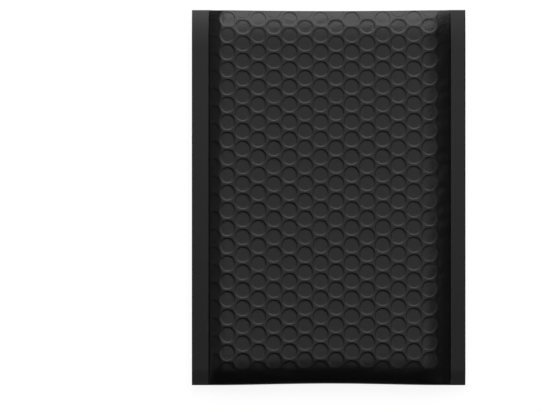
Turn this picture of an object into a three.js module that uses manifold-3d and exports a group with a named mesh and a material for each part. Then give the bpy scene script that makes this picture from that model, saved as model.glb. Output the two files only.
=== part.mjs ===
// A padded envelope of black poly film lined with bubble film. It is empty and lies on its back, front face up,
// with its mouth open and its flap folded back underneath.
// Millimetres. X runs across the envelope, Y from the bottom fold to the mouth, Z up from the table it lies on.
import * as THREE from "three";
import { mergeVertices } from "three/addons/utils/BufferGeometryUtils.js";
import Module from "manifold-3d";

const wasm = await Module();
wasm.setup();

// The envelope seen from the front
const envelopeWidth = 184;
const envelopeLength = 252;

// Side seals: flat bands where both walls are melted together
const leftSealWidth = 11;
const rightSealWidth = 9.3;
const sealThickness = 0.5;

// Padded walls of film and bubbles, and the pocket between them
const wallThickness = 4;
const pocketHeight = 5;

// How the padding rises from the side seals, from the mouth and from the bottom fold
const leftFlankRun = 10;
const rightFlankRun = 13.5;
const backFlankRun = 9;
const flankPower = 2.5;
const mouthTaperRun = 14;
const foldTaperRun = 20;
const endPower = 2.3;

// The open mouth, and the fold at the bottom
const mouthHeight = 4.6;
const mouthWall = 1.6;
const foldThickness = 4;
const foldRound = 1.2;
const foldFlat = 0.55;

// The padding draws the middle of both ends in by this much
const mouthDip = 0.7;
const foldDip = 1.3;
const dipReach = 60;

// Edges of the pocket, inside the seals and the fold
const pocketSideMargin = 3;
const pocketFoldMargin = 5;
const pocketSideRun = 12;
const pocketFoldRun = 15;
const pocketSlit = 0.2;
const pocketOvershoot = 2;

// Bubbles: sunken round discs in staggered columns
const bubbleDiameter = 10.25;
const bubbleDepth = 0.45;
const bubbleEdgeRun = 1.1;
const columnPitch = 10.455;
const rowPitch = 11.86;
const firstColumn = 13.05;
const firstRow = 4.4;
const bubbleSides = 8;
const borderMargin = 0.6;
const narrowestBubble = 1.5;
const cornerSnap = 0.25;

// Flap, its adhesive and the release liner, stacked downwards under the back
const flapLength = 40;
const flapThickness = 0.4;
const flapClearance = 0.3;
const flapJoin = 0.8;
const flapJoinDepth = 0.2;
const flapDrapeRun = 15;
const flapInset = 0.1;
const adhesiveWidth = 16;
const adhesiveThickness = 0.3;
const adhesiveFromFlapEdge = 6;
const adhesiveSideMargin = 6;
const linerOverlap = 2.5;
const linerThickness = 0.2;
const linerSideMargin = 1;
const recessMargin = 2;
const recessRun = 14;

// Points closer than this are one point; it is no round figure, so no size falls between two of its steps
const weldDistance = 0.00037;

const leftEdge = -envelopeWidth / 2;
const rightEdge = envelopeWidth / 2;
const foldEdge = -envelopeLength / 2;
const mouthEdge = envelopeLength / 2;
const paddedLeft = leftEdge + leftSealWidth;
const paddedRight = rightEdge - rightSealWidth;
const paddedBottom = foldEdge + foldRound;
const halfSeal = sealThickness / 2;
const halfThickness = wallThickness + pocketHeight / 2;
const seamHeight = halfThickness;
const flapTop = linerThickness + adhesiveThickness + flapThickness;
const recessDepth = flapTop + flapClearance;

// Rises from 0 to 1 along a run, steeply at first
function easeOut(distance, run, power) {
  return 1 - (1 - THREE.MathUtils.clamp(distance / run, 0, 1)) ** power;
}

// 0 on the side seals and 1 on the padded face between them
function paddingAcross(x, leftRun, rightRun) {
  const fromLeft = easeOut(x - paddedLeft, leftRun, flankPower);
  const fromRight = easeOut(paddedRight - x, rightRun, flankPower);
  return fromLeft * fromRight;
}

// 1 along the face, and less where it tapers to the mouth and to the bottom fold
function paddingAlong(y) {
  const fullRise = halfThickness - halfSeal;
  const mouthShare = (mouthHeight / 2 + mouthWall - halfSeal) / fullRise;
  const foldShare = (foldThickness / 2 - halfSeal) / fullRise;
  const fromMouth = easeOut(mouthEdge - y, mouthTaperRun, endPower);
  const fromFold = easeOut(y - foldEdge, foldTaperRun, endPower);
  return THREE.MathUtils.lerp(mouthShare, 1, fromMouth) * THREE.MathUtils.lerp(foldShare, 1, fromFold);
}

function frontHeight(x, y) {
  const padding = paddingAcross(x, leftFlankRun, rightFlankRun) * paddingAlong(y);
  return seamHeight + THREE.MathUtils.lerp(halfSeal, halfThickness, padding);
}

// The flap presses a flat recess into the back
function recessHeight(y) {
  const recessEnd = flapLength + recessMargin;
  return recessDepth * (1 - THREE.MathUtils.smoothstep(mouthEdge - y, recessEnd, recessEnd + recessRun));
}

function backHeight(x, y) {
  const padding = paddingAcross(x, backFlankRun, backFlankRun) * paddingAlong(y);
  const pillow = seamHeight - THREE.MathUtils.lerp(halfSeal, halfThickness, padding);
  return Math.max(pillow, recessHeight(y));
}

const pocketLeft = paddedLeft + pocketSideMargin;
const pocketRight = paddedRight - pocketSideMargin;
const pocketBottom = foldEdge + pocketFoldMargin;

// Half the height of the pocket, measured from the seam
function pocketHalf(x, y) {
  const fromLeft = easeOut(x - pocketLeft, pocketSideRun, flankPower);
  const fromRight = easeOut(pocketRight - x, pocketSideRun, flankPower);
  const fromFold = easeOut(y - pocketBottom, pocketFoldRun, endPower);
  const fromMouth = easeOut(mouthEdge - y, mouthTaperRun, endPower);
  const height = THREE.MathUtils.lerp(mouthHeight, pocketHeight, fromMouth);
  return Math.max(pocketSlit, height * fromLeft * fromRight * fromFold) / 2;
}

// The flap's upper side: it hangs from the mouth's back edge and soon lies level
function flapHeight(x, y) {
  const fromMouth = mouthEdge - y;
  if (fromMouth <= flapJoin) return backHeight(x, y) + flapJoinDepth;
  const drape = Math.max(0, 1 - fromMouth / flapDrapeRun) ** 2;
  return THREE.MathUtils.lerp(flapTop, backHeight(x, y) - flapClearance, drape);
}

// Every point of the envelope passes through here, which draws the ends in
function place(x, y, z) {
  const across = THREE.MathUtils.clamp((x - paddedLeft) / (paddedRight - paddedLeft), 0, 1);
  const arch = Math.sin(Math.PI * across);
  const nearMouth = 1 - THREE.MathUtils.smoothstep(mouthEdge - y, 0, dipReach);
  const nearFold = 1 - THREE.MathUtils.smoothstep(y - foldEdge, 0, dipReach);
  const drawnIn = foldDip * arch ** 2 * nearFold - mouthDip * Math.sqrt(arch) * nearMouth;
  return new THREE.Vector3(x, y + drawnIn, z);
}

function addFan(corners, points) {
  for (let i = 1; i < points.length - 1; i++) {
    corners.push(points[0], points[i], points[i + 1]);
  }
}

// A closed set of triangles as a solid
function toSolid(corners) {
  const loose = new THREE.BufferGeometry().setFromPoints(corners);
  const merged = mergeVertices(loose, weldDistance);
  const vertProperties = new Float32Array(merged.attributes.position.array);
  const triVerts = new Uint32Array(merged.index.array);
  return new wasm.Manifold(new wasm.Mesh({ numProp: 3, vertProperties, triVerts }));
}

function toGeometry(solid) {
  const mesh = solid.getMesh();
  const geometry = new THREE.BufferGeometry();
  geometry.setAttribute("position", new THREE.BufferAttribute(mesh.vertProperties, mesh.numProp));
  geometry.setIndex(new THREE.BufferAttribute(mesh.triVerts, 1));
  geometry.computeVertexNormals();
  return geometry;
}

// A thin solid between two height functions, on a grid of stations
function slab(xs, ys, topOf, bottomOf) {
  const corners = [];
  const top = (i, j) => place(xs[i], ys[j], topOf(xs[i], ys[j]));
  const bottom = (i, j) => place(xs[i], ys[j], bottomOf(xs[i], ys[j]));
  const lastX = xs.length - 1;
  const lastY = ys.length - 1;
  for (let i = 0; i < lastX; i++) {
    for (let j = 0; j < lastY; j++) {
      addFan(corners, [top(i, j), top(i + 1, j), top(i + 1, j + 1), top(i, j + 1)]);
      addFan(corners, [bottom(i, j), bottom(i, j + 1), bottom(i + 1, j + 1), bottom(i + 1, j)]);
    }
    addFan(corners, [bottom(i, 0), bottom(i + 1, 0), top(i + 1, 0), top(i, 0)]);
    addFan(corners, [bottom(i + 1, lastY), bottom(i, lastY), top(i, lastY), top(i + 1, lastY)]);
  }
  for (let j = 0; j < lastY; j++) {
    addFan(corners, [bottom(0, j + 1), bottom(0, j), top(0, j), top(0, j + 1)]);
    addFan(corners, [bottom(lastX, j), bottom(lastX, j + 1), top(lastX, j + 1), top(lastX, j)]);
  }
  return toSolid(corners);
}

// Keeps the part of a convex polygon on one side of a line along an axis
function cutAt(polygon, axis, limit, side) {
  const inside = (p) => side * (p[axis] - limit) >= 0;
  const kept = [];
  polygon.forEach((p, i) => {
    const next = polygon[(i + 1) % polygon.length];
    if (inside(p)) kept.push(p);
    if (inside(p) !== inside(next)) {
      const crossing = p.clone().lerp(next, (limit - p[axis]) / (next[axis] - p[axis]));
      crossing[axis] = limit;
      kept.push(crossing);
    }
  });
  return kept;
}

function cutToPadding(polygon, margin) {
  let cut = cutAt(polygon, "x", paddedLeft + margin, 1);
  cut = cutAt(cut, "x", paddedRight - margin, -1);
  cut = cutAt(cut, "y", paddedBottom + margin, 1);
  cut = cutAt(cut, "y", mouthEdge - margin, -1);
  return cut.filter((p, i) => p.distanceTo(cut[(i + 1) % cut.length]) > weldDistance);
}

// Corners that nearly touch the border of the padding move onto it
function snapToBorder(point) {
  for (const [axis, limits] of [["x", [paddedLeft, paddedRight]], ["y", [paddedBottom, mouthEdge]]]) {
    for (const limit of limits) {
      if (Math.abs(point[axis] - limit) < cornerSnap) point[axis] = limit;
    }
  }
  return point;
}

// The six-sided share of the face that belongs to the bubble at this centre
function cellAround(centre) {
  const sideCorner = (columnPitch ** 2 + rowPitch ** 2 / 4) / (2 * columnPitch);
  const endCorner = (columnPitch ** 2 - rowPitch ** 2 / 4) / (2 * columnPitch);
  const halfRow = rowPitch / 2;
  const offsets = [
    [sideCorner, 0],
    [endCorner, halfRow],
    [-endCorner, halfRow],
    [-sideCorner, 0],
    [-endCorner, -halfRow],
    [endCorner, -halfRow],
  ];
  return offsets.map(([dx, dy]) => snapToBorder(new THREE.Vector2(centre.x + dx, centre.y + dy)));
}

// The flat floor of the bubble at this centre, cut off at the border; nothing where too little is left of it
function floorAround(centre) {
  const radius = (bubbleDiameter - bubbleEdgeRun) / 2;
  const sides = [];
  for (let k = 0; k < bubbleSides; k++) {
    const angle = ((k + 0.5) / bubbleSides) * 2 * Math.PI;
    sides.push(new THREE.Vector2(Math.cos(angle), Math.sin(angle)).multiplyScalar(radius).add(centre));
  }
  const floor = cutToPadding(sides, borderMargin);
  if (floor.length < 3) return [];
  const size = new THREE.Box2().setFromPoints(floor).getSize(new THREE.Vector2());
  return Math.min(size.x, size.y) < narrowestBubble ? [] : floor;
}

function bubbleCentres() {
  const centres = [];
  const columns = Math.ceil(envelopeWidth / columnPitch);
  const rows = Math.ceil(envelopeLength / rowPitch);
  for (let column = -1; column <= columns; column++) {
    const stagger = column % 2 === 0 ? rowPitch / 2 : 0;
    for (let row = -1; row <= rows; row++) {
      const x = leftEdge + firstColumn + column * columnPitch;
      centres.push(new THREE.Vector2(x, mouthEdge - firstRow - stagger - row * rowPitch));
    }
  }
  return centres;
}

// The face, the back and the rim between them, before the pocket is cut
function paddedBody() {
  const corners = [];
  const onFront = (p, sunk = 0) => place(p.x, p.y, frontHeight(p.x, p.y) - sunk);
  const onBack = (p, sunk = 0) => place(p.x, p.y, backHeight(p.x, p.y) + sunk);
  const border = { left: [], right: [], fold: [], mouth: [] };

  for (const centre of bubbleCentres()) {
    const cell = cutToPadding(cellAround(centre), 0);
    if (cell.length < 3) continue;
    border.left.push(...cell.filter((p) => p.x === paddedLeft));
    border.right.push(...cell.filter((p) => p.x === paddedRight));
    border.fold.push(...cell.filter((p) => p.y === paddedBottom));
    border.mouth.push(...cell.filter((p) => p.y === mouthEdge));

    const floor = floorAround(centre);
    const web = [...cell.map((p) => onFront(p)), ...floor.map((p) => onFront(p, bubbleDepth))];
    for (const [a, b, c] of THREE.ShapeUtils.triangulateShape(cell, floor.length ? [floor] : [])) {
      corners.push(web[a], web[b], web[c]);
    }
    addFan(corners, web.slice(cell.length));

    const underFlap = centre.y > mouthEdge - flapLength - recessMargin;
    const hasMiddle = floor.length === bubbleSides && !underFlap;
    const rim = cell.map((p) => onBack(p)).reverse();
    if (hasMiddle) {
      const middle = onBack(centre, bubbleDepth);
      rim.forEach((p, i) => corners.push(middle, p, rim[(i + 1) % rim.length]));
    } else {
      addFan(corners, rim);
    }
  }

  const distinct = (points, axis) =>
    points.sort((a, b) => a[axis] - b[axis]).filter((p, i) => i === 0 || p[axis] - points[i - 1][axis] > weldDistance);
  const sealCorners = (x) => [new THREE.Vector2(x, paddedBottom), new THREE.Vector2(x, mouthEdge)];
  const [leftLow, leftHigh] = sealCorners(leftEdge);
  const [rightLow, rightHigh] = sealCorners(rightEdge);

  // Side seals, each a fan of triangles in one plane
  const leftLine = distinct(border.left, "y");
  const rightLine = distinct(border.right, "y");
  const leftBand = [leftLow, ...leftLine, leftHigh];
  const rightBand = [rightHigh, ...rightLine.reverse(), rightLow];
  for (const band of [leftBand, rightBand]) {
    addFan(corners, band.map((p) => onFront(p)));
    addFan(corners, band.map((p) => onBack(p)).reverse());
  }

  // The flat end at the mouth
  const mouthLine = [leftHigh, ...distinct(border.mouth, "x"), rightHigh];
  for (let i = 0; i < mouthLine.length - 1; i++) {
    const [a, b] = [mouthLine[i], mouthLine[i + 1]];
    addFan(corners, [onFront(a), onFront(b), onBack(b), onBack(a)]);
  }

  // The bottom fold, rounded off in three steps
  const foldPoint = (p, height) => place(p.x, foldEdge, THREE.MathUtils.lerp(seamHeight, height, foldFlat));
  const foldSection = (p) => [
    onFront(p),
    foldPoint(p, frontHeight(p.x, p.y)),
    foldPoint(p, backHeight(p.x, p.y)),
    onBack(p),
  ];
  const foldLine = [leftLow, ...distinct(border.fold, "x"), rightLow];
  for (let i = 0; i < foldLine.length - 1; i++) {
    const here = foldSection(foldLine[i]);
    const next = foldSection(foldLine[i + 1]);
    for (let k = 0; k < here.length - 1; k++) {
      addFan(corners, [here[k], here[k + 1], next[k + 1], next[k]]);
    }
  }

  // The cut edges of the side seals
  addFan(corners, [onFront(leftHigh), onBack(leftHigh), ...foldSection(leftLow).reverse()]);
  addFan(corners, [onBack(rightHigh), onFront(rightHigh), ...foldSection(rightLow)]);
  return toSolid(corners);
}

// Stations from one end of a run to the other, closer together where the padding is steep
function stations(start, end, startRun, endRun) {
  const steps = [0, 0.12, 0.3, 0.6, 1];
  const first = steps.map((s) => start + s * startRun);
  const last = steps.map((s) => end - s * endRun).reverse();
  return [...first, ...last];
}

function pocketHollow() {
  const xs = stations(pocketLeft, pocketRight, pocketSideRun, pocketSideRun);
  const ys = [...stations(pocketBottom, mouthEdge, pocketFoldRun, mouthTaperRun), mouthEdge + pocketOvershoot];
  return slab(
    xs,
    ys,
    (x, y) => seamHeight + pocketHalf(x, y),
    (x, y) => seamHeight - pocketHalf(x, y),
  );
}

function foldedFlap() {
  const xs = [leftEdge, ...stations(paddedLeft, paddedRight, backFlankRun, backFlankRun), rightEdge];
  const hang = [0.25, 0.5, 0.75, 1].map((s) => s * flapDrapeRun);
  const fromMouth = [flapInset, flapJoin, flapJoin + flapClearance, ...hang, flapLength];
  const ys = fromMouth.map((t) => mouthEdge - t).reverse();
  return slab(xs, ys, flapHeight, (x, y) => {
    const underside = flapHeight(x, Math.min(y, mouthEdge - flapJoin - flapClearance));
    return underside - flapThickness;
  });
}

const film = new THREE.MeshStandardMaterial({ color: 0x1c1c1d, roughness: 0.5, metalness: 0 });
const glue = new THREE.MeshStandardMaterial({ color: 0xd9cfae, roughness: 0.35, metalness: 0 });
const paper = new THREE.MeshStandardMaterial({ color: 0xe6e8ea, roughness: 0.4, metalness: 0 });

const envelope = new THREE.Mesh(toGeometry(paddedBody().subtract(pocketHollow()).add(foldedFlap())), film);
envelope.name = "envelope";

// The adhesive is a strip across the flap's inner side, which faces down
const adhesiveLength = envelopeWidth - 2 * adhesiveSideMargin;
const adhesiveStrip = new THREE.Mesh(new THREE.BoxGeometry(adhesiveLength, adhesiveWidth, adhesiveThickness), glue);
adhesiveStrip.name = "adhesive_strip";
const adhesiveY = mouthEdge - flapLength + adhesiveFromFlapEdge + adhesiveWidth / 2;
adhesiveStrip.position.set(0, adhesiveY, linerThickness + adhesiveThickness / 2);

// The liner covers the adhesive and is a little wider all round
const linerLength = envelopeWidth - 2 * linerSideMargin;
const linerWidth = adhesiveWidth + 2 * linerOverlap;
const releaseLiner = new THREE.Mesh(new THREE.BoxGeometry(linerLength, linerWidth, linerThickness), paper);
releaseLiner.name = "release_liner";
releaseLiner.position.set(0, adhesiveY, linerThickness / 2);

const paddedEnvelope = new THREE.Group();
paddedEnvelope.add(envelope, adhesiveStrip, releaseLiner);
export default paddedEnvelope;
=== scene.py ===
import math
import bmesh
import bpy
import numpy as np
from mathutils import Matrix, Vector, noise


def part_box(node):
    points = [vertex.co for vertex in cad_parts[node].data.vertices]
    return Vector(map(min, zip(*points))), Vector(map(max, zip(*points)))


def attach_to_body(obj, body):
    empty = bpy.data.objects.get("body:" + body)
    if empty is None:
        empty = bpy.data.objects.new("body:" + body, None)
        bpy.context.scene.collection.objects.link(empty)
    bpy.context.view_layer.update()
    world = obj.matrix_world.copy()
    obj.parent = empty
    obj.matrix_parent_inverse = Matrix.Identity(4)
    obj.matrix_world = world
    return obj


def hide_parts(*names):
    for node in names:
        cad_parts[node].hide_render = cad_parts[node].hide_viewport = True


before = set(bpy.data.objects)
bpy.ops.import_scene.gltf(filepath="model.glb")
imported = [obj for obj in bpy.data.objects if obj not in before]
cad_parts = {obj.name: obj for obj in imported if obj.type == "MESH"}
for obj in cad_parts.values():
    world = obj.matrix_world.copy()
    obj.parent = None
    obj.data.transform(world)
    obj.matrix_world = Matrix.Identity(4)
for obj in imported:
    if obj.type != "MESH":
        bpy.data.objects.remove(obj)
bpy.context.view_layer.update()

mm = 0.001
low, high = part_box("envelope")
leftEdge, foldEdge = (v / mm for v in low[:2])
rightEdge, mouthEdge = (v / mm for v in high[:2])
print("frame loaded: envelope", round(rightEdge - leftEdge, 1), "by", round(mouthEdge - foldEdge, 1), "mm")


# Colours and nodes

def hexColour(code):
    # sRGB hex to the linear values that Blender works in
    parts = [int(code[i:i + 2], 16) / 255 for i in (1, 3, 5)]
    linear = [c / 12.92 if c <= 0.04045 else ((c + 0.055) / 1.055) ** 2.4 for c in parts]
    return (*linear, 1.0)


def addNode(tree, kind, settings=None, links=None):
    # One node with its settings and the sockets that feed it
    node = tree.nodes.new(kind)
    for name, value in (settings or {}).items():
        if name in node.inputs:
            node.inputs[name].default_value = value
        else:
            setattr(node, name, value)
    for name, source in (links or {}).items():
        tree.links.new(source, node.inputs[name])
    return node


def newMaterial(name):
    material = bpy.data.materials.new(name)
    material.use_nodes = True
    tree = material.node_tree
    tree.nodes.clear()
    shader = addNode(tree, "ShaderNodeBsdfPrincipled")
    addNode(tree, "ShaderNodeOutputMaterial", links={"Surface": shader.outputs[0]})
    coords = addNode(tree, "ShaderNodeTexCoord")
    return material, tree, shader, coords.outputs["Object"]


def perMm(size):
    # Noise scale for features of this size, in mm
    return 1 / (size * mm)


# Matt black LDPE film, blown and laminated to the bubble film behind it. The slip additive and the faint
# crinkle from laminating scatter the light, so it gives the eye a soft satin grey and no sharp reflection.
blackFilm = {
    "colour": "#030303",
    "ior": 1.51,
    "specular": 0.25,
    "roughness": 0.31,
    "roughnessSpread": 0.05,
    "cloud": 22,             # mm, size of the duller and shinier patches
    "crinkle": 1.2,
    "crinkleHeight": 0.2,
    # Fine lines along the film, from the lips of the blowing die. The real ones are finer and wouldn't show.
    "dieLine": 0.8,
    "dieLineLength": 26,
    "dieLineHeight": 0.02,
}


def makeBlackFilm():
    spec = blackFilm
    material, tree, shader, place = newMaterial("blackLdpeFilm")
    shader.inputs["Base Color"].default_value = hexColour(spec["colour"])
    shader.inputs["IOR"].default_value = spec["ior"]
    shader.inputs["Specular IOR Level"].default_value = spec["specular"]
    cloud = addNode(tree, "ShaderNodeTexNoise", {"Scale": perMm(spec["cloud"]), "Detail": 3},
                    {"Vector": place})
    gloss = addNode(tree, "ShaderNodeMapRange", {
        "To Min": spec["roughness"] - spec["roughnessSpread"],
        "To Max": spec["roughness"] + spec["roughnessSpread"],
    }, {"Value": cloud.outputs["Fac"]})
    tree.links.new(gloss.outputs[0], shader.inputs["Roughness"])
    crinkle = addNode(tree, "ShaderNodeTexNoise", {
        "Scale": perMm(spec["crinkle"]), "Detail": 4, "Roughness": 0.55, "Distortion": 0.6,
    }, {"Vector": place})
    bump = addNode(tree, "ShaderNodeBump", {"Strength": 0.6, "Distance": spec["crinkleHeight"] * mm},
                   {"Height": crinkle.outputs["Fac"]})
    drawn = addNode(tree, "ShaderNodeMapping", {
        "Scale": (perMm(spec["dieLine"]), perMm(spec["dieLineLength"]), perMm(spec["dieLineLength"])),
    }, {"Vector": place})
    lines = addNode(tree, "ShaderNodeTexNoise", {"Scale": 1.0, "Detail": 2, "Roughness": 0.7},
                    {"Vector": drawn.outputs[0]})
    fine = addNode(tree, "ShaderNodeBump", {"Strength": 0.6, "Distance": spec["dieLineHeight"] * mm},
                   {"Height": lines.outputs["Fac"], "Normal": bump.outputs[0]})
    tree.links.new(fine.outputs[0], shader.inputs["Normal"])
    return material


# The same film where both walls are melted together by a heated bar. It has no crinkle there, only faint lines
# along the seal from the bar and the running film, so it gives the eye an even grey stripe.
sealedFilm = {
    "colour": "#050505",
    "ior": 1.51,
    "specular": 0.22,
    "roughness": 0.36,
    "roughnessSpread": 0.08,
    "streakWidth": 1.3,
    "streakLength": 60,
    "streakHeight": 0.04,
    "duller": 0.24,          # added to the roughness towards the fold, where the seals are duller
    "dullFrom": 66,          # y in mm where that starts
    "dullTo": -75,           # and where it is whole
}


def makeSealedFilm():
    spec = sealedFilm
    material, tree, shader, place = newMaterial("heatSealedFilm")
    shader.inputs["Base Color"].default_value = hexColour(spec["colour"])
    shader.inputs["IOR"].default_value = spec["ior"]
    shader.inputs["Specular IOR Level"].default_value = spec["specular"]
    stretched = addNode(tree, "ShaderNodeMapping", {
        "Scale": (perMm(spec["streakWidth"]), perMm(spec["streakLength"]), perMm(spec["streakLength"])),
    }, {"Vector": place})
    streaks = addNode(tree, "ShaderNodeTexNoise", {"Scale": 1.0, "Detail": 3, "Roughness": 0.6},
                      {"Vector": stretched.outputs[0]})
    gloss = addNode(tree, "ShaderNodeMapRange", {
        "To Min": spec["roughness"] - spec["roughnessSpread"],
        "To Max": spec["roughness"] + spec["roughnessSpread"],
    }, {"Value": streaks.outputs["Fac"]})
    axes = addNode(tree, "ShaderNodeSeparateXYZ", links={"Vector": place})
    heat = addNode(tree, "ShaderNodeMapRange", {
        "From Min": spec["dullTo"] * mm,
        "From Max": spec["dullFrom"] * mm,
        "To Min": spec["duller"],
        "To Max": 0,
    }, {"Value": axes.outputs["Y"]})
    rough = addNode(tree, "ShaderNodeMath", {"operation": "ADD"})
    tree.links.new(gloss.outputs[0], rough.inputs[0])
    tree.links.new(heat.outputs[0], rough.inputs[1])
    tree.links.new(rough.outputs[0], shader.inputs["Roughness"])
    bump = addNode(tree, "ShaderNodeBump", {"Strength": 0.5, "Distance": spec["streakHeight"] * mm},
                   {"Height": streaks.outputs["Fac"]})
    tree.links.new(bump.outputs[0], shader.inputs["Normal"])
    return material


# Clear LDPE bubble film, vacuum-formed and bonded to the black film behind it: it looks dark grey, with a
# bright glint on every dome.
clearBubbleFilm = {
    "colour": "#2b2d30",
    "hazeColour": "#3c3e42",
    "haze": 9,
    "ior": 1.51,
    "roughness": 0.22,
    "ripple": 2.4,
    "rippleHeight": 0.12,
}


def makeClearBubbleFilm():
    spec = clearBubbleFilm
    material, tree, shader, place = newMaterial("clearBubbleFilm")
    shader.inputs["IOR"].default_value = spec["ior"]
    shader.inputs["Roughness"].default_value = spec["roughness"]
    haze = addNode(tree, "ShaderNodeTexNoise", {"Scale": perMm(spec["haze"]), "Detail": 2}, {"Vector": place})
    tint = addNode(tree, "ShaderNodeMix", {"data_type": "RGBA"}, {"Factor": haze.outputs["Fac"]})
    tint.inputs[6].default_value = hexColour(spec["colour"])
    tint.inputs[7].default_value = hexColour(spec["hazeColour"])
    tree.links.new(tint.outputs[2], shader.inputs["Base Color"])
    ripple = addNode(tree, "ShaderNodeTexNoise", {"Scale": perMm(spec["ripple"]), "Detail": 3},
                     {"Vector": place})
    bump = addNode(tree, "ShaderNodeBump", {"Strength": 0.5, "Distance": spec["rippleHeight"] * mm},
                   {"Height": ripple.outputs["Fac"]})
    tree.links.new(bump.outputs[0], shader.inputs["Normal"])
    return material


# Bubble lattice

bubbles = {
    "columnPitch": 10.431,  # measured along the film
    "rowPitch": 11.807,
    "firstColumn": 13.45,   # from the left edge
    "firstRow": 4.7,        # from the mouth
    "slackAtMouth": 1.4,    # film taken up by the slope down to the mouth
    "slackAtLeft": 0.9,
    "slackAtRight": 0.4,
    "slackRun": 16.0,
    "tilt": 0.0061,         # the rows rise a little to the right, because the film was fed askew
    "stretch": 4.96e-5,     # the film is drawn out towards the fold
    "stretchFrom": 88.0,
    "stretchShift": 0.71,
    "floorRadius": 4.6,
    "rimRadius": 5.5,
    "depth": 0.255,
    "sidePoints": 4,        # mesh points along each side of a bubble's cell
    "rings": [1.6, 3.2, 4.54, 4.83, 5.15, 5.48],
    "wander": 0.06,         # how far a bubble strays from its place
    "sizeSpread": 0.006,
    "depthRange": (0.94, 1.08),
    "seed": 7,
    "fadeLeft": (0.0, 3.0),     # where the relief starts and is whole: from the left seal,
    "fadeRight": (6.0, 18.0),   # from the right seal
    "fadeFold": (8.0, 20.0),    # and from the fold
}

# The two padded walls. The envelope's width and length come from the frame.
shape = {
    "leftSeal": 11.0,
    "rightSeal": 9.3,
    "sealThickness": 0.5,
    "wall": 4.0,
    "pocket": 5.0,
    "leftFlank": 12.4,      # how far the film takes to rise from the seal to the face
    "rightFlank": 18.5,
    "backFlank": 9.0,
    "leftPower": 2.6,
    "rightPower": 1.4,
    "backPower": 2.5,
    "mouthFlank": 3.0,      # the left rise is this much longer at the mouth
    "mouthFlankReach": 28.0,
    "mouthTaper": 21.0,
    "foldTaper": 21.5,
    "endPower": 2.2,
    "mouthGap": 4.1,
    "mouthWall": 0.7,
    "foldThickness": 4.0,
    "foldRound": 1.2,
    "foldSteps": 7,
    "lean": 0.3,            # how much fuller the fold end is
    "leanRun": (20.0, 120.0),
    "crown": 0.45,          # how much fuller both ends are than the middle
    "mouthDip": 0.7,
    "foldDip": 1.1,
    "dipReach": 60.0,
    "weldRound": 1.4,       # rounding where the film leaves the seal
    "sharpAngle": 50.0,
}

# The seals are only film, so they bend down a little
sag = {
    "mouthLeft": 3.0,
    "mouthRight": 1.9,
    "mouthRun": 26.0,
    "mouthReach": 16.0,     # how far into the padding this is felt
    "fold": 0.9,
    "foldRun": 11.0,
    "foldReach": 8.0,
    "overlap": 0.5,         # all of it already this far before the seal's end
    "curl": 0.5,            # the cut edge of the right seal is bent down by the knife
    "curlDrop": 0.4,
}

# Slack in the film: a short pucker on the slopes and a long wave over the face
pucker = {
    "height": 0.25,
    "size": 11,
    "seed": 3.3,
    "waveHeight": 0.12,
    "waveSize": 34,
    "waveSeed": 8.1,
}

paddedLeft = leftEdge + shape["leftSeal"]
paddedRight = rightEdge - shape["rightSeal"]
paddedBottom = foldEdge + shape["foldRound"]
halfSeal = shape["sealThickness"] / 2
halfThickness = shape["wall"] + shape["pocket"] / 2
seam = halfThickness

flap = {
    "length": 40.0,
    "thickness": 0.4,
    "filmThickness": 0.18,
    "clearance": 0.3,
    "drape": 15.0,          # how far the flap hangs before it lies level
    "crease": ((-0.7, -0.25), (0.1, -0.2), (0.42, 0.0), (0.45, 0.25), (0.2, 0.45)),
    "creaseDrop": 0.55,
    "ripple": 0.22,
    "rippleSize": 13,
    "rippleSeed": 5.7,
    "adhesiveThickness": 0.3,
    "linerThickness": 0.2,
    "recessMargin": 2.0,
    "recessRun": 14.0,
}
flapTop = flap["linerThickness"] + flap["adhesiveThickness"] + flap["thickness"]


def easeOut(distance, run, power):
    return 1 - (1 - np.clip(distance / run, 0, 1)) ** power


def smooth(distance, start, end):
    t = np.clip((distance - start) / (end - start), 0, 1)
    return t * t * (3 - 2 * t)


def wrinkle(x, y, size, seed):
    # Smooth random field between -1 and 1, with features of this size in mm
    return np.array([noise.noise(Vector((a / size, b / size, seed))) for a, b in zip(x, y)])


def paddingAcross(x, left, right):
    fromLeft = (x - paddedLeft) * smooth(x - paddedLeft, 0, shape["weldRound"])
    fromRight = (paddedRight - x) * smooth(paddedRight - x, 0, shape["weldRound"])
    return easeOut(fromLeft, *left) * easeOut(fromRight, *right)


def paddingAlong(y):
    fullRise = halfThickness - halfSeal
    mouthShare = (shape["mouthGap"] / 2 + shape["mouthWall"] - halfSeal) / fullRise
    foldShare = (shape["foldThickness"] / 2 - halfSeal) / fullRise
    fromMouth = easeOut(mouthEdge - y, shape["mouthTaper"], shape["endPower"])
    fromFold = easeOut(y - foldEdge, shape["foldTaper"], shape["endPower"])
    return (mouthShare + (1 - mouthShare) * fromMouth) * (foldShare + (1 - foldShare) * fromFold)


def filmX(x):
    # Place along the film, which is longer than the envelope is wide because it slopes at both sides
    nearLeft = 1 - smooth(x - paddedLeft, 0, bubbles["slackRun"])
    nearRight = 1 - smooth(paddedRight - x, 0, bubbles["slackRun"])
    return x - bubbles["slackAtLeft"] * nearLeft + bubbles["slackAtRight"] * nearRight


def filmY(y):
    fromMouth = mouthEdge - y
    stretched = bubbles["stretch"] * (fromMouth - bubbles["stretchFrom"]) ** 2 - bubbles["stretchShift"]
    return y + stretched + bubbles["slackAtMouth"] * (1 - smooth(fromMouth, 0, bubbles["slackRun"]))


def onEnvelope(points):
    # From places along the film to places on the envelope
    xs = np.linspace(leftEdge - 20, rightEdge + 20, 4000)
    ys = np.linspace(foldEdge - 20, mouthEdge + 20, 4000)
    level = points[:, 1] + bubbles["tilt"] * points[:, 0]
    return np.column_stack([np.interp(points[:, 0], filmX(xs), xs), np.interp(level, filmY(ys), ys)])


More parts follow.
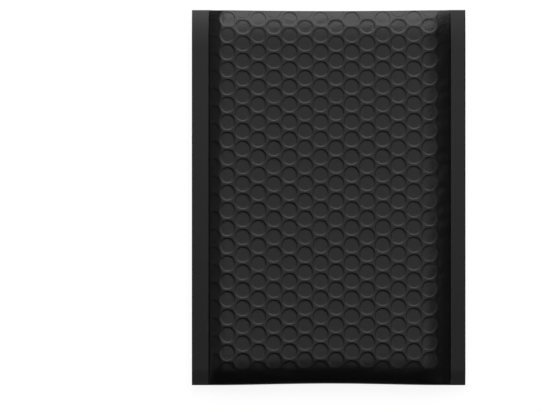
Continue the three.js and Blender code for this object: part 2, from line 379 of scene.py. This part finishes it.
def bubbleTable():
    # Where each bubble really is, and how deep: a little off the lattice, as on the real film
    rng = np.random.default_rng(bubbles["seed"])
    columns = int((rightEdge - leftEdge) / bubbles["columnPitch"]) + 4
    rows = int((mouthEdge - foldEdge) / bubbles["rowPitch"]) + 4
    table = {}
    for column in range(-2, columns):
        stagger = bubbles["rowPitch"] / 2 if column % 2 == 0 else 0
        for row in range(-2, rows):
            x = leftEdge + bubbles["firstColumn"] + column * bubbles["columnPitch"]
            y = mouthEdge - bubbles["firstRow"] - stagger - row * bubbles["rowPitch"]
            shift = rng.normal(0, bubbles["wander"], 2)
            size = 1 + rng.normal(0, bubbles["sizeSpread"])
            depth = rng.uniform(*bubbles["depthRange"])
            table[(column, row)] = (x, y, x + shift[0], y + shift[1], size, depth)
    return table


bubbleAt = bubbleTable()


def nearestBubble(x, y):
    # Distance along the film to the nearest bubble's centre, with that bubble's depth
    x = filmX(x)
    y = filmY(y) - bubbles["tilt"] * x
    best = np.full(len(x), 1e9)
    depth = np.zeros(len(x))
    columnGuess = np.round((x - leftEdge - bubbles["firstColumn"]) / bubbles["columnPitch"]).astype(int)
    for columnStep in (-1, 0, 1):
        column = columnGuess + columnStep
        stagger = np.where(column % 2 == 0, bubbles["rowPitch"] / 2, 0)
        fromFirst = mouthEdge - bubbles["firstRow"] - stagger - y
        rowGuess = np.round(fromFirst / bubbles["rowPitch"]).astype(int)
        for rowStep in (-1, 0, 1):
            row = rowGuess + rowStep
            spots = [bubbleAt.get((c, r), (0, 0, 1e6, 1e6, 1, 1)) for c, r in zip(column, row)]
            spots = np.array(spots)
            distance = np.hypot(x - spots[:, 2], y - spots[:, 3]) / spots[:, 4]
            closer = distance < best
            best = np.where(closer, distance, best)
            depth = np.where(closer, spots[:, 5], depth)
    return best, depth


def latticeSheet():
    # A flat mesh over the whole envelope whose edges follow the rim of every bubble, cut at the seal lines
    sideCorner = (bubbles["columnPitch"] ** 2 + bubbles["rowPitch"] ** 2 / 4) / (2 * bubbles["columnPitch"])
    endCorner = (bubbles["columnPitch"] ** 2 - bubbles["rowPitch"] ** 2 / 4) / (2 * bubbles["columnPitch"])
    half = bubbles["rowPitch"] / 2
    corners = [(sideCorner, 0), (endCorner, half), (-endCorner, half),
               (-sideCorner, 0), (-endCorner, -half), (endCorner, -half)]
    outline = []
    for (ax, ay), (bx, by) in zip(corners, corners[1:] + corners[:1]):
        for k in range(bubbles["sidePoints"]):
            t = k / bubbles["sidePoints"]
            outline.append((ax + (bx - ax) * t, ay + (by - ay) * t))
    angles = [math.atan2(oy, ox) for ox, oy in outline]
    margin = 8
    sheet = bmesh.new()
    for x, y, realX, realY, size, depth in bubbleAt.values():
        if not (leftEdge - margin < x < rightEdge + margin and paddedBottom - margin < y < mouthEdge + margin):
            continue
        rows = []
        for ring in bubbles["rings"]:
            radius = ring * size
            rows.append([sheet.verts.new((realX + radius * math.cos(a), realY + radius * math.sin(a), 0))
                         for a in angles])
        rows.append([sheet.verts.new((x + ox, y + oy, 0)) for ox, oy in outline])
        middle = sheet.verts.new((realX, realY, 0))
        count = len(outline)
        for k in range(count):
            sheet.faces.new((middle, rows[0][k], rows[0][(k + 1) % count]))
            for inner, outer in zip(rows, rows[1:]):
                sheet.faces.new((inner[k], outer[k], outer[(k + 1) % count], inner[(k + 1) % count]))
    bmesh.ops.remove_doubles(sheet, verts=sheet.verts, dist=0.01)
    for vert, spot in zip(sheet.verts, onEnvelope(np.array([v.co[:2] for v in sheet.verts]))):
        vert.co.x, vert.co.y = spot
    cuts = [((leftEdge, 0, 0), (-1, 0, 0), True), ((rightEdge, 0, 0), (1, 0, 0), True),
            ((0, paddedBottom, 0), (0, -1, 0), True), ((0, mouthEdge, 0), (0, 1, 0), True),
            ((rightEdge - sag["curl"], 0, 0), (1, 0, 0), False),
            ((paddedLeft, 0, 0), (-1, 0, 0), False), ((paddedRight, 0, 0), (1, 0, 0), False)]
    for step in (0.25, 0.5, 0.75, 1):
        cuts.append(((paddedLeft + step * shape["weldRound"], 0, 0), (-1, 0, 0), False))
        cuts.append(((paddedRight - step * shape["weldRound"], 0, 0), (1, 0, 0), False))
    for point, normal, clear in cuts:
        everything = sheet.verts[:] + sheet.edges[:] + sheet.faces[:]
        bmesh.ops.bisect_plane(sheet, geom=everything, dist=0.05, plane_co=point, plane_no=normal,
                               clear_outer=clear)
    bmesh.ops.triangulate(sheet, faces=[f for f in sheet.faces if len(f.verts) > 4])
    sheet.verts.index_update()
    return sheet


def relief(x, y):
    # How far the film is drawn in at this point: flat floors with soft round walls
    distance, depth = nearestBubble(x, y)
    disc = 1 - smooth(distance, bubbles["floorRadius"], bubbles["rimRadius"])
    share = smooth(x - paddedLeft, *bubbles["fadeLeft"]) * smooth(paddedRight - x, *bubbles["fadeRight"])
    share = share * smooth(y - foldEdge, *bubbles["fadeFold"])
    return bubbles["depth"] * depth * disc * share


def sealSag(x, y):
    fromSeal = np.minimum(x - paddedLeft, paddedRight - x)
    atMouth = np.where(x < 0, sag["mouthLeft"], sag["mouthRight"])
    atMouth = atMouth * (1 - easeOut(mouthEdge - y, sag["mouthRun"], 2))
    atMouth = atMouth * (1 - smooth(fromSeal, -sag["overlap"], sag["mouthReach"]))
    atFold = (1 - smooth(y - foldEdge, 0, sag["foldRun"])) * sag["fold"]
    atFold = atFold * (1 - smooth(fromSeal, -sag["overlap"], sag["foldReach"]))
    curl = sag["curlDrop"] * np.clip(1 - (rightEdge - x) / sag["curl"], 0, 1)
    return atMouth + atFold + curl


def frontHeight(x, y):
    nearMouth = 1 - smooth(mouthEdge - y, 0, shape["mouthFlankReach"])
    leftRun = shape["leftFlank"] + shape["mouthFlank"] * nearMouth
    padding = paddingAcross(x, (leftRun, shape["leftPower"]), (shape["rightFlank"], shape["rightPower"]))
    padding = padding * paddingAlong(y)
    height = seam + halfSeal + (halfThickness - halfSeal) * padding
    flank = 4 * padding * (1 - padding)
    height = height + pucker["height"] * flank * wrinkle(x, y * 2, pucker["size"], pucker["seed"])
    height = height + pucker["waveHeight"] * padding * wrinkle(x, y, pucker["waveSize"], pucker["waveSeed"])
    height = height - shape["lean"] * padding * smooth(y - foldEdge, *shape["leanRun"])
    height = height + shape["crown"] * padding * (y / mouthEdge) ** 2
    return height - sealSag(x, y)


def recessHeight(y):
    depth = flapTop + flap["clearance"]
    end = flap["length"] + flap["recessMargin"]
    return depth * (1 - smooth(mouthEdge - y, end, end + flap["recessRun"]))


def backHeight(x, y):
    flank = (shape["backFlank"], shape["backPower"])
    padding = paddingAcross(x, flank, flank) * paddingAlong(y)
    pillow = seam - halfSeal - (halfThickness - halfSeal) * padding - sealSag(x, y)
    return np.maximum(pillow, recessHeight(y))


pocketEdge = {
    "sideMargin": 3.0,
    "foldMargin": 5.0,
    "sideRun": 12.0,
    "foldRun": 15.0,
    "fineDepth": 46,        # mesh rows: fine down to here, where the mouth lets the eye in
    "fineStep": 1.5,
    "coarseDepth": 246,
    "coarseStep": 8.0,
    "leastWall": 0.3,
    "gullyStart": 3.2,      # from a dome's middle
    "gullyEnd": 6.4,
    "gullyDepth": 1.7,
    "gullyWall": 0.35,
}


def pocketHalf(x, y):
    margin, run = pocketEdge["sideMargin"], pocketEdge["sideRun"]
    fromLeft = easeOut(x - paddedLeft - margin, run, shape["backPower"])
    fromRight = easeOut(paddedRight - margin - x, run, shape["backPower"])
    fromFold = easeOut(y - foldEdge - pocketEdge["foldMargin"], pocketEdge["foldRun"], shape["endPower"])
    fromMouth = easeOut(mouthEdge - y, shape["mouthTaper"], shape["endPower"])
    height = shape["mouthGap"] + (shape["pocket"] - shape["mouthGap"]) * fromMouth
    return height * fromLeft * fromRight * fromFold / 2


def liningDome(x, y, wall):
    # The lining is all domes, with the film drawn back between them
    distance, depth = nearestBubble(x, y)
    gully = smooth(distance, pocketEdge["gullyStart"], pocketEdge["gullyEnd"])
    return np.minimum(pocketEdge["gullyDepth"], np.maximum(wall - pocketEdge["gullyWall"], 0)) * gully


def drawIn(x, y):
    across = np.clip((x - paddedLeft) / (paddedRight - paddedLeft), 0, 1)
    arch = np.sin(np.pi * across)
    nearMouth = 1 - smooth(mouthEdge - y, 0, shape["dipReach"])
    nearFold = 1 - smooth(y - foldEdge, 0, shape["dipReach"])
    return y + shape["foldDip"] * arch ** 2 * nearFold - shape["mouthDip"] * arch * nearMouth


def finishObject(name, points, faces, materials, faceSlots=None):
    mesh = bpy.data.meshes.new(name)
    mesh.from_pydata([tuple(p) for p in np.asarray(points) * mm], [], faces)
    for material in materials:
        mesh.materials.append(material)
    if faceSlots is not None:
        mesh.polygons.foreach_set("material_index", faceSlots)
    mesh.polygons.foreach_set("use_smooth", [True] * len(mesh.polygons))
    mesh.validate()
    mesh.update()
    piece = bpy.data.objects.new(name, mesh)
    bpy.context.collection.objects.link(piece)
    return piece


def makeWalls(film, seal, lining):
    # The front wall takes the fold and the seal edges with it, so each wall carries half of the lining
    sheet = latticeSheet()
    flat = np.array([v.co[:2] for v in sheet.verts])
    x, y = flat[:, 0], flat[:, 1]
    count = len(flat)
    print("bubble lattice:", count, "points a side")
    sunk = relief(x, y)
    yIn = drawIn(x, y)
    onSeal = (x <= paddedLeft + 0.01) | (x >= paddedRight - 0.01)
    front = np.column_stack([x, yIn, frontHeight(x, y) - sunk])
    back = np.column_stack([x, yIn, backHeight(x, y) + np.where(onSeal, 0, sunk)])
    points = [front, back]
    faces = []
    slots = []
    for face in sheet.faces:
        faces.append([v.index for v in face.verts])
        slots.append(1 if all(onSeal[i] for i in faces[-1]) else 0)
    backFaces = [[i + count for i in reversed(ring)] for ring in faces]
    backSlots = list(slots)

    def borderEdges(test):
        edges = []
        for edge in sheet.edges:
            if edge.is_boundary and all(test(v.co) for v in edge.verts):
                loop = edge.link_loops[0]
                edges.append((loop.vert.index, loop.link_loop_next.vert.index))
        return edges

    # Cut edges of the side seals
    for a, b in borderEdges(lambda co: abs(co.x - leftEdge) < 0.06 or abs(co.x - rightEdge) < 0.06):
        faces.append([a, a + count, b + count, b])
        slots.append(1)

    # Bottom fold: half round, from the front to the back
    steps = shape["foldSteps"]
    foldEdges = borderEdges(lambda co: abs(co.y - paddedBottom) < 0.06)
    foldIndex = sorted({i for pair in foldEdges for i in pair})
    rows = {i: [i] for i in foldIndex}
    total = 2 * count
    for step in range(1, steps):
        angle = math.pi * step / steps
        for i in foldIndex:
            topZ, bottomZ = front[i, 2], back[i, 2]
            z = (topZ + bottomZ) / 2 + (topZ - bottomZ) / 2 * math.cos(angle)
            points.append([[front[i, 0], front[i, 1] - shape["foldRound"] * math.sin(angle), z]])
            rows[i].append(total)
            total += 1
    for i in foldIndex:
        rows[i].append(i + count)
    for a, b in foldEdges:
        for k in range(steps):
            faces.append([rows[a][k], rows[a][k + 1], rows[b][k + 1], rows[b][k]])
            slots.append(1 if onSeal[a] and onSeal[b] else 0)

    # Lining: from the cut edge at the mouth down into the pocket
    mouthEdges = borderEdges(lambda co: abs(co.y - mouthEdge) < 0.06)
    pocketLeft = paddedLeft + pocketEdge["sideMargin"]
    pocketRight = paddedRight - pocketEdge["sideMargin"]
    inPocket = (x >= pocketLeft) & (x <= pocketRight)
    for a, b in mouthEdges:
        if not (inPocket[a] and inPocket[b]):
            faces.append([a, a + count, b + count, b])
            slots.append(1)
    mouthIndex = sorted({i for pair in mouthEdges for i in pair if inPocket[i]}, key=lambda i: x[i])
    xs = x[mouthIndex]
    last = len(xs) - 1
    fine = np.arange(0, pocketEdge["fineDepth"], pocketEdge["fineStep"])
    coarse = np.arange(pocketEdge["fineDepth"], pocketEdge["coarseDepth"], pocketEdge["coarseStep"])
    depths = np.concatenate([fine, coarse])
    ys = mouthEdge - depths
    ys = ys[ys > foldEdge + pocketEdge["foldMargin"] + 0.5]
    upper = {}
    for side in (1, -1):
        previous = mouthIndex if side == 1 else [i + count for i in mouthIndex]
        for rowIndex, yRow in enumerate(ys):
            yAll = np.full(len(xs), yRow)
            level = seam - sealSag(xs, yAll)
            outer = side * ((frontHeight(xs, yAll) if side == 1 else backHeight(xs, yAll)) - level)
            half = np.minimum(pocketHalf(xs, yAll), np.maximum(outer - pocketEdge["leastWall"], 0))
            z = level + side * (half + liningDome(xs, yAll, outer - half))
            yReal = drawIn(xs, yAll)
            current = []
            for k in range(len(xs)):
                closed = k in (0, last) or rowIndex == len(ys) - 1
                if closed and side == -1:
                    current.append(upper[(rowIndex, k)])
                    continue
                points.append([[xs[k], yReal[k], level[k] if closed else z[k]]])
                upper.setdefault((rowIndex, k), total)
                current.append(total)
                total += 1
            for k in range(last):
                quad = [previous[k], previous[k + 1], current[k + 1], current[k]]
                if side == 1:
                    quad.reverse()
                quad = list(dict.fromkeys(quad))
                if len(quad) > 2:
                    (faces if side == 1 else backFaces).append(quad)
                    (slots if side == 1 else backSlots).append(2 if rowIndex > 0 else 0)
            previous = current
    print("lining:", len(ys), "rows of", len(xs))
    sheet.free()
    points = np.concatenate([np.asarray(p, float) for p in points])
    walls = []
    for name, wallFaces, wallSlots in (("frontWall", faces, slots), ("backWall", backFaces, backSlots)):
        used = sorted({i for face in wallFaces for i in face})
        place = {old: new for new, old in enumerate(used)}
        wallFaces = [[place[i] for i in face] for face in wallFaces]
        piece = finishObject(name, points[used], wallFaces, [film, seal, lining], wallSlots)
        piece.data.set_sharp_from_angle(angle=math.radians(shape["sharpAngle"]))
        for edge in piece.data.edges:
            # The bar leaves a crisp line where the seal ends
            places = [piece.data.vertices[i].co.x / mm for i in edge.vertices]
            if any(all(abs(x - line) < 0.02 for x in places) for line in (paddedLeft, paddedRight)):
                edge.use_edge_sharp = True
        piece.data.calc_loop_triangles()
        print(name, "has", len(piece.data.loop_triangles), "triangles")
        walls.append(piece)
    return walls


film = makeBlackFilm()
seal = makeSealedFilm()
lining = makeClearBubbleFilm()
for wall in makeWalls(film, seal, lining):
    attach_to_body(wall, "root")
    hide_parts("envelope")


def thinSheet(name, rows, thickness, materials):
    # A closed sheet around rows of points, with the same thickness all over
    grid = np.array(rows, float)
    along = np.gradient(grid, axis=0)
    across = np.gradient(grid, axis=1)
    normal = np.cross(across, along)
    normal /= np.linalg.norm(normal, axis=2, keepdims=True)
    top = grid + normal * thickness / 2
    bottom = grid - normal * thickness / 2
    n, m = grid.shape[:2]
    points = np.concatenate([top.reshape(-1, 3), bottom.reshape(-1, 3)])
    under = n * m
    faces = []
    for i in range(n - 1):
        for j in range(m - 1):
            a, b, c, d = i * m + j, i * m + j + 1, (i + 1) * m + j + 1, (i + 1) * m + j
            faces.append([a, b, c, d])
            faces.append([under + d, under + c, under + b, under + a])
    border = [j for j in range(m)] + [i * m + m - 1 for i in range(1, n)]
    border += [(n - 1) * m + j for j in range(m - 2, -1, -1)] + [i * m for i in range(n - 2, 0, -1)]
    for a, b in zip(border, border[1:] + border[:1]):
        faces.append([b, a, under + a, under + b])
    piece = finishObject(name, points, faces, materials)
    piece.data.set_sharp_from_angle(angle=math.radians(40))   # keeps the cut edges crisp
    return piece


# The flap goes on from the back wall past the mouth, as outer film alone. It is creased at the mouth, hangs
# down behind it and soon lies level under the back.

def makeFlap(material):
    spec = flap
    xs = np.concatenate([[leftEdge], np.linspace(leftEdge + 0.4, rightEdge - 0.4, 110), [rightEdge]])
    backEdge = backHeight(xs, np.full(len(xs), mouthEdge - 0.01))
    attach = drawIn(xs, np.full(len(xs), mouthEdge))
    rows = []
    for ahead, below in spec["crease"]:
        rows.append(np.column_stack([xs, attach + ahead, backEdge - below - 0.05]))
    hanging = np.linspace(0.5, spec["drape"], 14)
    lying = np.linspace(spec["drape"] + 1.5, spec["length"], 15)
    for distance in np.concatenate([hanging, lying]):
        hang = max(0, 1 - distance / spec["drape"]) ** 2
        level = flapTop - spec["thickness"] / 2
        z = level + (backEdge - spec["creaseDrop"] - level) * hang
        ripple = wrinkle(xs, np.full(len(xs), distance * 2), spec["rippleSize"], spec["rippleSeed"])
        ripple = ripple * spec["ripple"] * hang ** 0.5
        rows.append(np.column_stack([xs, attach - distance, z + ripple]))
    return thinSheet("sealFlap", rows[::-1], spec["filmThickness"], [material])


# Hot-melt adhesive, laid on as a warm bead and pressed flat: clear amber with a soft rounded edge.
adhesiveGlue = {
    "colour": "#c9b27a",
    "ridgeColour": "#a98f58",
    "ior": 1.49,
    "roughness": 0.28,
    "ridge": 3.0,
    "ridgeLength": 40,
    "ridgeHeight": 0.1,
    "edgeWander": 0.35,
}


def makeAdhesiveMaterial():
    spec = adhesiveGlue
    material, tree, shader, place = newMaterial("hotMeltAdhesive")
    shader.inputs["IOR"].default_value = spec["ior"]
    shader.inputs["Roughness"].default_value = spec["roughness"]
    stretched = addNode(tree, "ShaderNodeMapping", {
        "Scale": (perMm(spec["ridgeLength"]), perMm(spec["ridge"]), perMm(spec["ridge"])),
    }, {"Vector": place})
    ridges = addNode(tree, "ShaderNodeTexNoise", {"Scale": 1.0, "Detail": 2},
                     {"Vector": stretched.outputs[0]})
    tint = addNode(tree, "ShaderNodeMix", {"data_type": "RGBA"}, {"Factor": ridges.outputs["Fac"]})
    tint.inputs[6].default_value = hexColour(spec["colour"])
    tint.inputs[7].default_value = hexColour(spec["ridgeColour"])
    tree.links.new(tint.outputs[2], shader.inputs["Base Color"])
    bump = addNode(tree, "ShaderNodeBump", {"Strength": 0.5, "Distance": spec["ridgeHeight"] * mm},
                   {"Height": ridges.outputs["Fac"]})
    tree.links.new(bump.outputs[0], shader.inputs["Normal"])
    return material


def makeAdhesive(material):
    lowest, highest = (np.array(corner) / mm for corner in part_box("adhesive_strip"))
    xs = np.linspace(lowest[0], highest[0], 90)
    shares = [0, 0.03, 0.08, 0.2, 0.4, 0.6, 0.8, 0.92, 0.97, 1]
    middle = (lowest[2] + highest[2]) / 2
    rows = []
    for share in shares:
        y = lowest[1] + (highest[1] - lowest[1]) * share
        edge = 0.5 - abs(share - 0.5)
        wander = wrinkle(xs, np.full(len(xs), share * 4), 9, 2.2) * adhesiveGlue["edgeWander"] * (edge < 0.1)
        rows.append(np.column_stack([xs, y + wander * (0.5 - share) * 2, np.full(len(xs), middle)]))
    return thinSheet("adhesiveBand", rows, (highest[2] - lowest[2]) * 0.9, [material])


# Release liner: thin cast film with a silicone coat, milky white, slippery and a little glossy.
linerFilm = {
    "colour": "#e9ecee",
    "thinColour": "#dde2e6",   # where the silicone coat is thin
    "ior": 1.5,
    "roughness": (0.22, 0.4),
    "wave": 18.0,
    "grain": 1.1,
    "grainHeight": 0.03,
    "thickness": 0.1,
    "aboveTable": 0.08,
    "edgeLift": 0.06,
}


def makeLinerMaterial():
    spec = linerFilm
    material, tree, shader, place = newMaterial("siliconisedLinerFilm")
    shader.inputs["IOR"].default_value = spec["ior"]
    cloud = addNode(tree, "ShaderNodeTexNoise", {"Scale": perMm(spec["wave"]), "Detail": 4},
                    {"Vector": place})
    tint = addNode(tree, "ShaderNodeMix", {"data_type": "RGBA"}, {"Factor": cloud.outputs["Fac"]})
    tint.inputs[6].default_value = hexColour(spec["colour"])
    tint.inputs[7].default_value = hexColour(spec["thinColour"])
    tree.links.new(tint.outputs[2], shader.inputs["Base Color"])
    smoothest, roughest = spec["roughness"]
    gloss = addNode(tree, "ShaderNodeMapRange", {"To Min": smoothest, "To Max": roughest},
                    {"Value": cloud.outputs["Fac"]})
    tree.links.new(gloss.outputs[0], shader.inputs["Roughness"])
    fine = addNode(tree, "ShaderNodeTexNoise", {"Scale": perMm(spec["grain"]), "Detail": 3}, {"Vector": place})
    bump = addNode(tree, "ShaderNodeBump", {"Strength": 0.4, "Distance": spec["grainHeight"] * mm},
                   {"Height": fine.outputs["Fac"]})
    tree.links.new(bump.outputs[0], shader.inputs["Normal"])
    return material


def makeLiner(material):
    lowest, highest = (np.array(corner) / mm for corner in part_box("release_liner"))
    xs = np.linspace(lowest[0], highest[0], 120)
    rows = []
    for share in np.linspace(0, 1, 12):
        y = lowest[1] + (highest[1] - lowest[1]) * share
        edge = abs(share - 0.5) * 2
        lift = np.abs(wrinkle(xs, np.full(len(xs), share * 9), 21, 6.6)) * linerFilm["edgeLift"] * edge
        rows.append(np.column_stack([xs, np.full(len(xs), y), linerFilm["aboveTable"] + lift]))
    return thinSheet("releaseLiner", rows, linerFilm["thickness"], [material])


sealFlap = makeFlap(film)
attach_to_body(sealFlap, "root")
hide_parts("envelope")
adhesive = makeAdhesive(makeAdhesiveMaterial())
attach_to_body(adhesive, "root")
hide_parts("adhesive_strip")
liner = makeLiner(makeLinerMaterial())
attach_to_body(liner, "root")
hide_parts("release_liner")
print("flap, adhesive and liner made")


# Studio

studio = {
    "floorColour": "#f4f4f4",
    "floorRoughness": 0.9,
    "floorSpecular": 0.1,
    "floorGlow": 0.9,
    "floorReach": 3.0,
    "worldStrength": 0.03,
    "cameraDistance": 2017.0,   # above the seam
    "lens": 200.0,
    "objectPixel": (328.49, 197.9),   # where the envelope's middle falls in the 540 by 411 picture
    "pictureSize": (540, 411),
    "pixelSize": 0.6743,              # mm at the seam
    "softboxes": [
        # name, direction, distance and size in metres, watts
        ("overheadSoftbox", (0.04, 0.09, 1), 4.0, (4.7, 2.4), 52.8),
        ("farSoftbox", (0.15, 1.07, 1), 4.5, (5.8, 3.45), 358),
        ("leftFill", (-0.74, 0.46, 0.6), 3.75, (6.0, 3.0), 25),
        ("rightFill", (0.8, 0.1, 0.6), 3.75, (6.0, 3.0), 0.8),
        ("lowFrontFill", (0, -1, 0.24), 4.2, (8.4, 1.1), 14),
    ],
}


def makeStudio():
    material, tree, shader, place = newMaterial("paleStudioFloor")
    shader.inputs["Base Color"].default_value = hexColour(studio["floorColour"])
    shader.inputs["Roughness"].default_value = studio["floorRoughness"]
    shader.inputs["Specular IOR Level"].default_value = studio["floorSpecular"]
    # Seen directly or in a reflection the floor is nearly white paper, and it still takes the soft shadow
    glow = addNode(tree, "ShaderNodeEmission", {"Color": (1, 1, 1, 1), "Strength": 1.0})
    rays = addNode(tree, "ShaderNodeLightPath")
    direct = addNode(tree, "ShaderNodeMath", {"operation": "MAXIMUM"})
    tree.links.new(rays.outputs["Is Camera Ray"], direct.inputs[0])
    tree.links.new(rays.outputs["Is Glossy Ray"], direct.inputs[1])
    through = addNode(tree, "ShaderNodeMath", {"operation": "MAXIMUM"})
    tree.links.new(direct.outputs[0], through.inputs[0])
    tree.links.new(rays.outputs["Is Transmission Ray"], through.inputs[1])
    share = addNode(tree, "ShaderNodeMath", {"operation": "MULTIPLY"})
    tree.links.new(through.outputs[0], share.inputs[0])
    share.inputs[1].default_value = studio["floorGlow"]
    mixed = addNode(tree, "ShaderNodeMixShader", links={"Fac": share.outputs[0]})
    tree.links.new(shader.outputs[0], mixed.inputs[1])
    tree.links.new(glow.outputs[0], mixed.inputs[2])
    tree.links.new(mixed.outputs[0], tree.nodes["Material Output"].inputs["Surface"])
    mesh = bpy.data.meshes.new("studioFloor")
    reach = studio["floorReach"]
    corners = [(-reach, -reach, 0), (reach, -reach, 0), (reach, reach, 0), (-reach, reach, 0)]
    mesh.from_pydata(corners, [], [(0, 1, 2, 3)])
    mesh.materials.append(material)
    floor = bpy.data.objects.new("studioFloor", mesh)
    floor.location.z = -0.2 * mm
    bpy.context.collection.objects.link(floor)

    world = bpy.data.worlds.new("studioWorld")
    world.use_nodes = True
    world.node_tree.nodes["Background"].inputs["Color"].default_value = (1, 1, 1, 1)
    world.node_tree.nodes["Background"].inputs["Strength"].default_value = studio["worldStrength"]
    bpy.context.scene.world = world

    for name, direction, distance, size, power in studio["softboxes"]:
        lamp = bpy.data.lights.new(name, "AREA")
        lamp.shape = "RECTANGLE"
        lamp.size, lamp.size_y = size
        lamp.energy = power
        holder = bpy.data.objects.new(name, lamp)
        aim = Vector(direction).normalized()
        holder.location = aim * distance
        holder.rotation_euler = aim.to_track_quat("Z", "Y").to_euler()
        bpy.context.collection.objects.link(holder)

    scene = bpy.context.scene
    cameraData = bpy.data.cameras.new("camera")
    cameraData.lens = studio["lens"]
    camera = bpy.data.objects.new("camera", cameraData)
    middle = ((leftEdge + rightEdge) / 2, (foldEdge + mouthEdge) / 2)
    offX = (studio["objectPixel"][0] - studio["pictureSize"][0] / 2) * studio["pixelSize"]
    offY = (studio["pictureSize"][1] / 2 - studio["objectPixel"][1]) * studio["pixelSize"]
    height = seam + studio["cameraDistance"]
    camera.location = ((middle[0] - offX) * mm, (middle[1] - offY) * mm, height * mm)
    bpy.context.collection.objects.link(camera)
    scene.camera = camera
    scene.view_settings.view_transform = "Standard"


makeStudio()
print("studio set")
